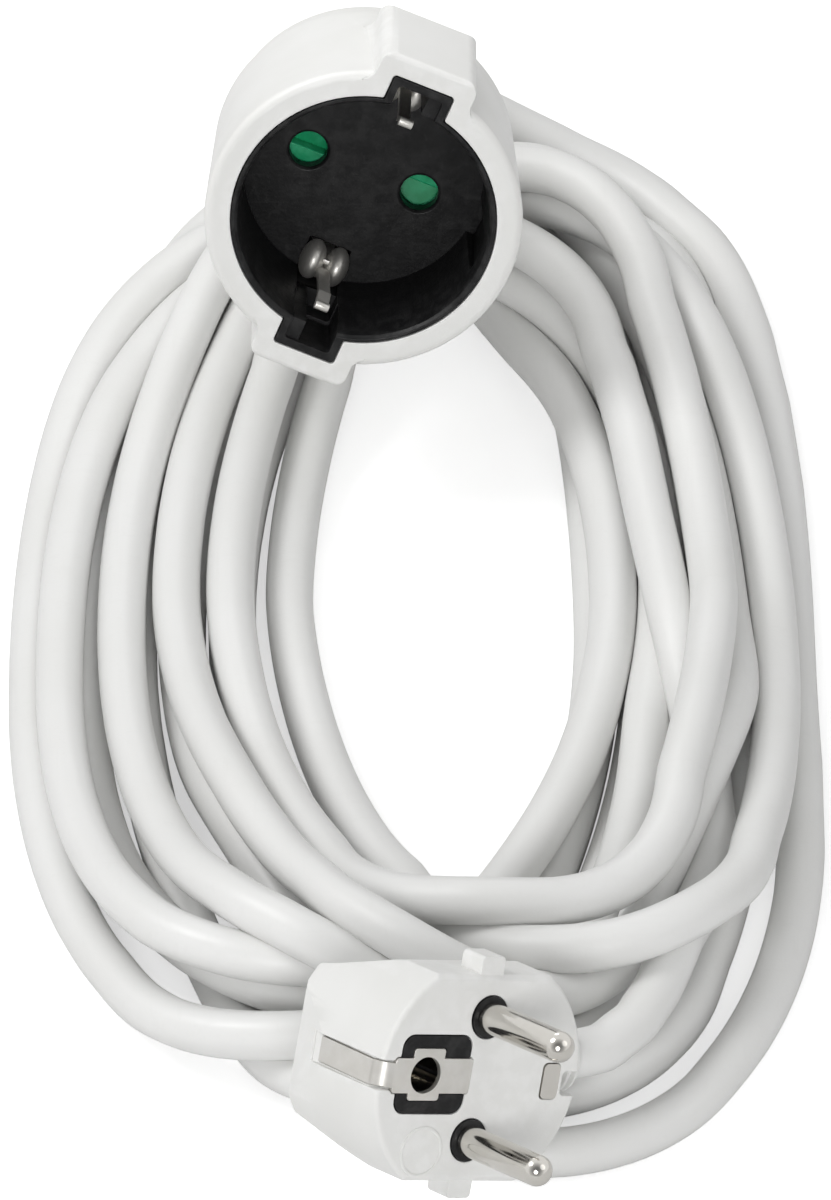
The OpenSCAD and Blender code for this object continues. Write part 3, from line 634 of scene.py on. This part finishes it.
# %% [markdown]
# A lobe is pressed out of strip over a rounded punch. That is a squashed
# sphere, cut off flat where the punch stopped, and the cut is closed.

# %% Small forms: the domed lobes of the earth bow
LOBE = (2.0, 3.3, 3.3)
LOBE_X, LOBE_Y, LOBE_Z = 1.95, 16.3, -18.7
LOBE_FLOOR = -19.6
bm = bmesh.new()
for side in (-1, 1):
    for end in (-1, 1):
        lobe = bmesh.ops.create_uvsphere(bm, u_segments=32, v_segments=20,
                                         radius=1.0)["verts"]
        bmesh.ops.scale(bm, vec=LOBE, verts=lobe)
        bmesh.ops.translate(bm, verts=lobe,
                            vec=(LOBE_X * side, LOBE_Y * end, LOBE_Z))
cut = bmesh.ops.bisect_plane(bm, geom=bm.verts[:] + bm.edges[:] + bm.faces[:],
                             plane_co=(0, 0, LOBE_FLOOR),
                             plane_no=(0, 0, -1), clear_outer=True)
rim = [g for g in cut["geom_cut"] if isinstance(g, bmesh.types.BMEdge)]
bmesh.ops.holes_fill(bm, edges=rim)
put_in_place(bm, AT_SOCKET, "earth_bow_lobes", "nickel_plate")

# %% [markdown]

# %% [markdown]
# The finishes share three effects, and each is a node group. The grain
# group gives the fine spark-eroded texture of a mould and slow patches
# of tone. The scratch group stretches noise into hairlines. The rub
# group breaks up the marked edges, so that wear is never an even line.

# %% Finishes: a helper for node groups
def new_group(name, inputs, output):
    """An empty node group with named inputs and outputs."""
    group = bpy.data.node_groups.new(name, "ShaderNodeTree")
    for label, kind, value in inputs:
        socket = group.interface.new_socket(
            label, in_out="INPUT", socket_type="NodeSocket" + kind)
        if value is not None:
            socket.default_value = value
    for label in output:
        group.interface.new_socket(label, in_out="OUTPUT",
                                   socket_type="NodeSocketFloat")
    return (group, group.nodes.new("NodeGroupInput"),
            group.nodes.new("NodeGroupOutput"))


def noise_at(tree, vector, scale, detail):
    """A noise node whose scale may be a number or a socket."""
    node = tree.nodes.new("ShaderNodeTexNoise")
    node.inputs["Detail"].default_value = detail
    tree.links.new(vector, node.inputs["Vector"])
    if isinstance(scale, (int, float)):
        node.inputs["Scale"].default_value = scale
    else:
        tree.links.new(scale, node.inputs["Scale"])
    return node.outputs["Fac"]


def spread(tree, value, low, high, to_low=0.0, to_high=1.0):
    """Maps a span of values onto another, and clamps it."""
    node = tree.nodes.new("ShaderNodeMapRange")
    for label, number in (("From Min", low), ("From Max", high),
                          ("To Min", to_low), ("To Max", to_high)):
        node.inputs[label].default_value = number
    tree.links.new(value, node.inputs["Value"])
    return node.outputs["Result"]


def of_two(tree, operation, first, second):
    """A sum, product or maximum of two values, numbers or sockets."""
    node = tree.nodes.new("ShaderNodeMath")
    node.operation = operation
    for socket, value in zip(node.inputs, (first, second)):
        if isinstance(value, (int, float)):
            socket.default_value = value
        else:
            tree.links.new(value, socket)
    return node.outputs[0]


# %% Finishes: grain and patches
PATCH_BAND = (0.34, 0.66)
grain_group, given, result = new_group(
    "grain_and_patches",
    [("Vector", "Vector", None), ("Grain Scale", "Float", 3000.0),
     ("Patch Scale", "Float", 90.0)], ["Grain", "Patches"])
fine = noise_at(grain_group, given.outputs["Vector"],
                given.outputs["Grain Scale"], 2.0)
broad = noise_at(grain_group, given.outputs["Vector"],
                 given.outputs["Patch Scale"], 4.0)
grain_group.links.new(fine, result.inputs["Grain"])
grain_group.links.new(spread(grain_group, broad, *PATCH_BAND),
                      result.inputs["Patches"])

# %% Finishes: hairline scratches
HAIRS = (((900, 30, 900), 0.5), ((30, 900, 900), -0.35),
         ((900, 900, 25), 0.8))
HAIR_BAND = (0.66, 0.7)
scratch_group, given, result = new_group(
    "hairlines", [("Vector", "Vector", None), ("Amount", "Float", 0.5)],
    ["Lines"])
lines = []
for stretch, turn in HAIRS:
    mapping = scratch_group.nodes.new("ShaderNodeMapping")
    mapping.inputs["Scale"].default_value = stretch
    mapping.inputs["Rotation"].default_value = (turn, turn * 0.7, turn)
    scratch_group.links.new(given.outputs["Vector"],
                            mapping.inputs["Vector"])
    hair = noise_at(scratch_group, mapping.outputs["Vector"], 1.0, 1.0)
    lines.append(spread(scratch_group, hair, *HAIR_BAND))
any_line = of_two(scratch_group, "MAXIMUM", lines[0], lines[1])
any_line = of_two(scratch_group, "MAXIMUM", any_line, lines[2])
scratch_group.links.new(
    of_two(scratch_group, "MULTIPLY", any_line, given.outputs["Amount"]),
    result.inputs["Lines"])

# %% Finishes: rubbed edges
WEAR_SCALE, WEAR_BAND = 420.0, (0.42, 0.62)
rub_group, given, result = new_group(
    "rubbed_edges",
    [("Vector", "Vector", None), ("Edge", "Float", 0.0),
     ("Amount", "Float", 0.5)], ["Rubbed"])
uneven = noise_at(rub_group, given.outputs["Vector"], WEAR_SCALE, 3.0)
broken = spread(rub_group, uneven, *WEAR_BAND)
worn_edge = of_two(rub_group, "MULTIPLY", given.outputs["Edge"], broken)
rub_group.links.new(
    of_two(rub_group, "MULTIPLY", worn_edge, given.outputs["Amount"]),
    result.inputs["Rubbed"])
print("groups:", [g.name for g in (grain_group, scratch_group, rub_group)])

# %% [markdown]
# Every finish is then the same recipe with its own numbers: a colour and
# a slightly different tone for its patches, a tone for rubbed edges and
# hairlines, a roughness that follows the patches, and the grain as a
# bump of a few thousandths of a millimetre. A number that is the same
# all over a surface, such as how much it mirrors, is set on the shader
# itself.

# %% Finishes: the recipe
HAIRS_TINT, HAIRS_DULL = 0.4, 0.25


def place_group(tree, group):
    """Puts a node group into a material."""
    node = tree.nodes.new("ShaderNodeGroup")
    node.node_tree = group
    return node


def tinted(tree, first, second, share):
    """Mixes two colours, given as values or sockets."""
    node = tree.nodes.new("ShaderNodeMix")
    node.data_type = "RGBA"
    for label, colour in (("A", first), ("B", second)):
        socket = [s for s in node.inputs
                  if s.name == label and s.type == "RGBA"][0]
        if isinstance(colour, tuple):
            socket.default_value = (*colour, 1)
        else:
            tree.links.new(colour, socket)
    tree.links.new(share, node.inputs["Factor"])
    return [s for s in node.outputs if s.type == "RGBA"][0]


def finish(name, colour, patch, rub, rough, grain=3000.0, depth=0.004,
           metallic=0.0, patch_scale=90.0, lines=0.3, rub_amount=0.5,
           mirror=0.5):
    """A material with patches, hairlines, rubbed edges and a grain."""
    material = bpy.data.materials.new(name)
    material.use_nodes = True
    tree = material.node_tree
    shader = tree.nodes["Principled BSDF"]
    shader.inputs["Metallic"].default_value = metallic
    shader.inputs["Specular IOR Level"].default_value = mirror
    where = tree.nodes.new("ShaderNodeTexCoord").outputs["Object"]
    base = place_group(tree, grain_group)
    base.inputs["Grain Scale"].default_value = grain
    base.inputs["Patch Scale"].default_value = patch_scale
    hairs = place_group(tree, scratch_group)
    hairs.inputs["Amount"].default_value = lines
    worn = place_group(tree, rub_group)
    worn.inputs["Amount"].default_value = rub_amount
    for node in (base, hairs, worn):
        tree.links.new(where, node.inputs["Vector"])
    mark = tree.nodes.new("ShaderNodeAttribute")
    mark.attribute_name = "rubbed"
    tree.links.new(mark.outputs["Fac"], worn.inputs["Edge"])
    toned = tinted(tree, colour, patch, base.outputs["Patches"])
    toned = tinted(tree, toned, rub, worn.outputs["Rubbed"])
    faint = of_two(tree, "MULTIPLY", hairs.outputs["Lines"], HAIRS_TINT)
    toned = tinted(tree, toned, rub, faint)
    tree.links.new(toned, shader.inputs["Base Color"])
    gloss = spread(tree, base.outputs["Patches"], 0, 1, *rough)
    duller = of_two(tree, "MULTIPLY", hairs.outputs["Lines"], HAIRS_DULL)
    tree.links.new(of_two(tree, "ADD", gloss, duller),
                   shader.inputs["Roughness"])
    bump = tree.nodes.new("ShaderNodeBump")
    bump.inputs["Strength"].default_value = 1.0
    bump.inputs["Distance"].default_value = depth * MM
    tree.links.new(base.outputs["Grain"], bump.inputs["Height"])
    tree.links.new(bump.outputs["Normal"], shader.inputs["Normal"])
    return material


# %% [markdown]
# Both whites are PVC. The casings are moulded and a little glossier, and
# the sheath is drawn, duller and faintly greyer. The black insert is a
# hard thermoset with an eroded floor that mirrors little, so it stays
# black under a lamp. The shutter is a clear green, with the same care.
# The three cores have the colours that every mains cord has.

# %% Finishes: plastics
WHITE, WHITE_2 = (0.80, 0.80, 0.785), (0.77, 0.77, 0.75)
FINISHES = {
    "moulded_white": finish(
        "moulded_white", WHITE, WHITE_2, (0.85, 0.85, 0.84), (0.36, 0.46),
        grain=2600.0, depth=0.012, patch_scale=70.0, lines=0.12),
    "cord_white": finish(
        "cord_white", (0.79, 0.79, 0.78), (0.765, 0.765, 0.75),
        (0.7, 0.7, 0.68), (0.38, 0.5), grain=2200.0, depth=0.012,
        patch_scale=45.0, lines=0.2),
    "black_insert": finish(
        "black_insert", (0.0065, 0.0065, 0.007), (0.0095, 0.0095, 0.01),
        (0.045, 0.045, 0.045), (0.36, 0.46), grain=1500.0, depth=0.04,
        patch_scale=240.0, lines=0.35, rub_amount=0.35, mirror=0.22),
    "carrier_grey": finish(
        "carrier_grey", (0.14, 0.14, 0.15), (0.17, 0.17, 0.18),
        (0.3, 0.3, 0.3), (0.45, 0.6), depth=0.01),
    "shutter_green": finish(
        "shutter_green", (0.01, 0.36, 0.15), (0.012, 0.3, 0.12),
        (0.05, 0.5, 0.25), (0.3, 0.4), grain=2800.0, depth=0.008,
        patch_scale=300.0, mirror=0.25),
    "core_brown": finish(
        "core_brown", (0.15, 0.06, 0.02), (0.12, 0.05, 0.02),
        (0.3, 0.16, 0.08), (0.35, 0.45)),
    "core_blue": finish(
        "core_blue", (0.03, 0.1, 0.45), (0.03, 0.08, 0.38),
        (0.2, 0.3, 0.6), (0.35, 0.45)),
    "core_green_yellow": finish(
        "core_green_yellow", (0.62, 0.55, 0.03), (0.05, 0.32, 0.04),
        (0.7, 0.7, 0.3), (0.35, 0.45), patch_scale=260.0)}
print("plastics:", sorted(FINISHES))

# %% [markdown]
# The pins are turned and polished, so their nickel is bright. The bow
# and the clips are pressed from strip, and the same nickel is satin on
# them: rougher, so that a lamp shows as a soft patch and not as a spot.
# The sleeves are bare brass, and the spring is bright steel.

# %% Finishes: metals
FINISHES["nickel_plate"] = finish(
    "nickel_plate", (0.66, 0.64, 0.60), (0.61, 0.59, 0.55),
    (0.74, 0.73, 0.71), (0.12, 0.19), grain=900.0, depth=0.001,
    metallic=1.0, patch_scale=200.0, lines=0.12, rub_amount=0.3)
FINISHES["spring_steel"] = finish(
    "spring_steel", (0.58, 0.58, 0.57), (0.5, 0.49, 0.47),
    (0.7, 0.7, 0.7), (0.25, 0.38), depth=0.002, metallic=1.0)
FINISHES["contact_brass"] = finish(
    "contact_brass", (0.78, 0.6, 0.3), (0.66, 0.48, 0.24),
    (0.86, 0.7, 0.4), (0.2, 0.36), depth=0.002, metallic=1.0)
satin_nickel = finish(
    "nickel_plate_satin", (0.68, 0.665, 0.63), (0.62, 0.605, 0.57),
    (0.74, 0.73, 0.71), (0.4, 0.48), grain=2400.0, depth=0.003,
    metallic=0.85, patch_scale=200.0, lines=0.15, rub_amount=0.3)
print("finishes:", len(FINISHES), "and", satin_nickel.name)

# %% [markdown]
# Each piece takes the finish that its slot names. The solids that no
# piece replaces are dressed too, because they show through the holes, or
# when the part is taken apart.

# %% Finishes: who wears what
PRESSED = ("earth_bow", "earth_bow_lobes", "earth_clip")
cord.data.materials.append(FINISHES["cord_white"])
for node, piece in dressed.items():
    piece.data.materials.append(satin_nickel if node in PRESSED
                                else FINISHES[slots[node]])
for part in frame["record"]["subparts"]:
    carried = frame["nodes"][part["node"]].data
    carried.materials.clear()
    carried.materials.append(FINISHES[part["material_slot"]])
print("dressed pieces:", len(dressed) + 1)

# %% [markdown]
# Light comes as from a large window, high on the left, with a second
# soft box in front and a weak one on the right. White plastic on a white
# floor loses its upper side easily, so a small lamp stands close over
# the coupler.

# %% Floor and lights: the lamps
LAMPS = {"key_light": ((-1.1, 0.2, 1.5), 0.8, 13),
         "front_light": ((-0.1, -1.6, 0.9), 0.7, 11.3),
         "fill_light": ((1.3, -0.5, 1.2), 1.2, 2.5),
         "top_light": ((-0.02, 0.13, 0.2), 0.1, 0.065)}
for name, (place, size, watts) in LAMPS.items():
    data = bpy.data.lights.new(name, "AREA")
    data.shape, data.size, data.energy = "DISK", size, watts
    lamp = bpy.data.objects.new(name, data)
    lamp.location = place
    lamp.rotation_euler = (CAM_AT - lamp.location).to_track_quat(
        "-Z", "Y").to_euler()
    bpy.context.scene.collection.objects.link(lamp)
    print(name, watts, "W")

# %% [markdown]
# The rest of the light is an even sky. Polished pins need something dark
# to reflect, or they look like chalk. So the sky that only glossy rays
# see is darker towards the viewer, as an unlit room is behind a camera.
# What the camera itself sees behind the floor is plain white.

# %% Floor and lights: the sky
SKY, ROOM = 0.42, 0.2
ROOM_BEGINS, ROOM_FULL = 0.45, 0.95
world = bpy.data.worlds.new("world")
bpy.context.scene.world = world
world.use_nodes = True
tree = world.node_tree
background = tree.nodes["Background"]
background.inputs["Color"].default_value = (1, 1, 1, 1)
rays = tree.nodes.new("ShaderNodeLightPath")
direction = tree.nodes.new("ShaderNodeTexCoord").outputs["Generated"]
towards = tree.nodes.new("ShaderNodeVectorMath")
towards.operation = "DOT_PRODUCT"
towards.inputs[1].default_value = back
tree.links.new(direction, towards.inputs[0])
mirrored_sky = spread(tree, towards.outputs["Value"], ROOM_BEGINS,
                      ROOM_FULL, 1.0, ROOM)


def one_or_other(tree, switch, off, on):
    """Takes one value where the switch is 0 and the other where it is 1."""
    node = tree.nodes.new("ShaderNodeMix")
    for socket, value in ((node.inputs["A"], off), (node.inputs["B"], on)):
        if isinstance(value, (int, float)):
            socket.default_value = value
        else:
            tree.links.new(value, socket)
    tree.links.new(switch, node.inputs["Factor"])
    return node.outputs["Result"]


shiny = of_two(tree, "MAXIMUM", rays.outputs["Is Glossy Ray"],
               rays.outputs["Is Transmission Ray"])
lit = one_or_other(tree, shiny, SKY, mirrored_sky)
lit = one_or_other(tree, rays.outputs["Is Camera Ray"], lit, 1.0)
tree.links.new(lit, background.inputs["Strength"])
print("sky:", SKY, "room:", ROOM)

# %% [markdown]
# The floor is one large plain sheet, a hair under the cord. It glows a
# little for the camera alone, which lightens it to white and leaves only
# the soft shadows close to the cord. It is stage and no part of the
# object.

# %% Floor and lights: the floor
FLOOR_SIZE, FLOOR_Z, FLOOR_GLOW = 4, -0.0002, 0.52
bm = bmesh.new()
bmesh.ops.create_grid(bm, x_segments=1, y_segments=1, size=FLOOR_SIZE)
bmesh.ops.translate(bm, verts=bm.verts, vec=(0, 0, FLOOR_Z))
floor_mesh = bpy.data.meshes.new("floor")
bm.to_mesh(floor_mesh)
bm.free()
floor = bpy.data.objects.new("floor", floor_mesh)
bpy.context.scene.collection.objects.link(floor)
floor_finish = bpy.data.materials.new("pale_floor")
floor_finish.use_nodes = True
tree = floor_finish.node_tree
shader = tree.nodes["Principled BSDF"]
shader.inputs["Base Color"].default_value = (0.8, 0.8, 0.8, 1)
shader.inputs["Roughness"].default_value = 0.9
shader.inputs["Emission Color"].default_value = (1, 1, 1, 1)
rays = tree.nodes.new("ShaderNodeLightPath")
glow = of_two(tree, "MULTIPLY", rays.outputs["Is Camera Ray"], FLOOR_GLOW)
tree.links.new(glow, shader.inputs["Emission Strength"])
floor_mesh.materials.append(floor_finish)
bpy.context.scene.view_settings.view_transform = "Standard"
print("floor and sky are in place")
